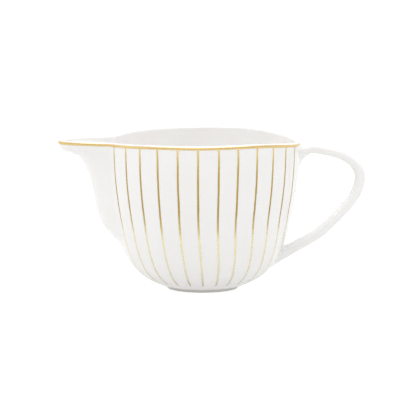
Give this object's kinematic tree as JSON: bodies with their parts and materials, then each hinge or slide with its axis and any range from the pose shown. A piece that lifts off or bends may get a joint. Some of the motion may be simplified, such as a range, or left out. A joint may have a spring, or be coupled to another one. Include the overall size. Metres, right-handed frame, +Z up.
{
  "type": "cream jug",
  "caption": "Small porcelain pouring jug: round deep bowl on a low foot ring, pinched pointed spout, ear-shaped strap handle, thin gilt rim line and upright gilt stripes.",
  "frame": {"origin": "middle of the foot ring, on the plane the jug stands on", "axes": "+Z up along the bowl's axis, +X towards the handle, spout towards -X"},
  "size_m": [0.1519, 0.0962, 0.0756],
  "materials": {
    "porcelain": "clear glossy glaze over white body",
    "foot_porcelain": "glazed sides, bare ground contact edge",
    "gilding": "burnished bright gold lustre"
  },
  "bodies": {
    "root": {"bowl": "porcelain", "spout": "porcelain", "handle": "porcelain", "foot_ring": "foot_porcelain", "rim_gold_line": "gilding", "gold_stripe_01": "gilding", "gold_stripe_02": "gilding", "gold_stripe_03": "gilding", "gold_stripe_04": "gilding", "gold_stripe_05": "gilding", "gold_stripe_06": "gilding", "gold_stripe_07": "gilding", "gold_stripe_08": "gilding", "gold_stripe_09": "gilding", "gold_stripe_10": "gilding", "gold_stripe_11": "gilding", "gold_stripe_12": "gilding", "gold_stripe_13": "gilding", "gold_stripe_14": "gilding", "gold_stripe_15": "gilding", "gold_stripe_16": "gilding", "gold_stripe_17": "gilding", "gold_stripe_18": "gilding", "gold_stripe_19": "gilding", "gold_stripe_20": "gilding", "gold_stripe_21": "gilding", "gold_stripe_22": "gilding", "gold_stripe_23": "gilding", "gold_stripe_24": "gilding"}
  },
  "joints": []
}
